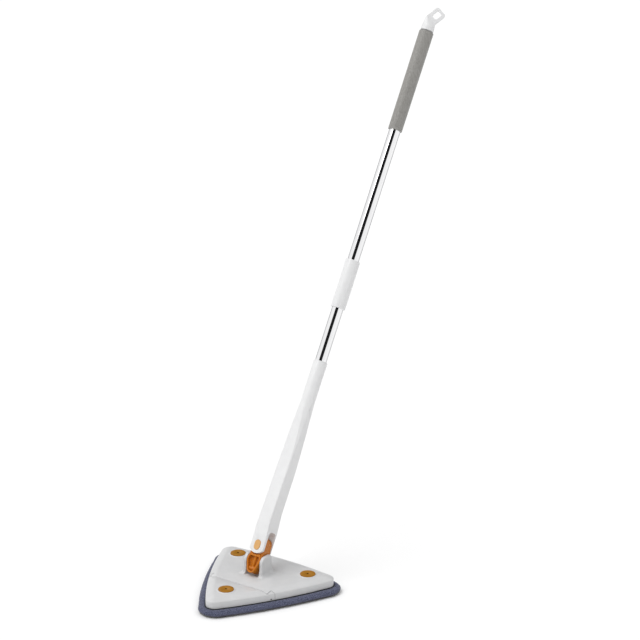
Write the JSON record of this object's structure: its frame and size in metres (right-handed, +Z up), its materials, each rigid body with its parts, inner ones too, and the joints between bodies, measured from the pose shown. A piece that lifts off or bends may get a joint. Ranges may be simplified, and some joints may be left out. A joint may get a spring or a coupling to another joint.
{
  "type": "triangular flat floor mop",
  "caption": "Triangular flat mop: three-cornered head with a fold-down tip, two-way tilting joint, sliding lower sleeve, steel tube pole, soft grip and hanging loop.",
  "frame": {"origin": "on the floor under the middle of the triangular head", "axes": "+Z up; -Y towards the flap's tip; +Y the way the pole leans; +X to the right of the head seen from the tip"},
  "size_m": [0.3182, 0.8469, 1.1483],
  "materials": {
    "white_plastic": "smooth satin white moulding",
    "base_plastic": "fine matt light grey moulding",
    "orange_plastic": "glossy amber orange moulding",
    "disc_plastic": "golden orange, satin",
    "button_plastic": "pale orange, satin",
    "chrome": "polished stainless tube",
    "steel": "plain turned steel",
    "grip_foam": "matt warm grey foam rubber",
    "ring_rubber": "matt black rubber",
    "hook_tape": "black hook tape",
    "pad_fabric": "slate blue knitted pile"
  },
  "bodies": {
    "pole": {"lower_tube": "chrome", "tube_foot": "white_plastic", "connector": "white_plastic", "coupling_core": "base_plastic", "upper_tube": "chrome", "grip": "grip_foam", "end_plug": "base_plastic"},
    "sleeve": {"lower_sleeve": "white_plastic", "guide_bush": "white_plastic", "friction_ring": "ring_rubber", "nose_pin": "steel", "button_spring": "steel"},
    "button": {"release_button": "button_plastic"},
    "yoke": {"yoke": "orange_plastic"},
    "head": {"main_cover": "white_plastic", "main_base": "base_plastic", "base_screws": "steel", "disc_left": "disc_plastic", "disc_right": "disc_plastic", "main_tape": "hook_tape", "pad_main": "pad_fabric", "ear_pin": "steel", "ear_washers": "base_plastic", "flap_hinge_pins": "steel"},
    "flap": {"flap_cover": "white_plastic", "flap_base": "base_plastic", "flap_screw": "steel", "disc_tip": "disc_plastic", "flap_tape": "hook_tape", "pad_tip": "pad_fabric"},
    "hanger": {"hanger": "white_plastic", "hanger_screw": "steel"}
  },
  "joints": [
    {"name": "sleeve_slide", "type": "slide", "parent": "pole", "child": "sleeve", "axis": [0, 0.5195, 0.8545], "range_m": [-0.08, 0.1]},
    {"name": "button_press", "type": "slide", "parent": "sleeve", "child": "button", "axis": [0, 0.8545, -0.5195], "range_m": [0, 0.0012], "stiffness_N_per_m": 400, "springref_m": -0.003, "deforming": ["button_spring"]},
    {"name": "side_tilt", "type": "hinge", "parent": "sleeve", "child": "yoke", "pos_m": [0, 0.0187, 0.09576], "axis": [0, 0.8545, -0.5195], "range_deg": [-50, 50]},
    {"name": "fore_aft_tilt", "type": "hinge", "parent": "yoke", "child": "head", "pos_m": [0, 0, 0.065], "axis": [1, 0, 0], "range_deg": [-80, 55]},
    {"name": "flap_fold", "type": "hinge", "parent": "head", "child": "flap", "pos_m": [0, -0.0585, 0.0182], "axis": [1, 0, 0], "range_deg": [0, 80]},
    {"name": "hanger_swivel", "type": "hinge", "parent": "pole", "child": "hanger", "pos_m": [0, 0.62909, 1.09966], "axis": [0, 0.5195, 0.8545], "continuous": true}
  ]
}
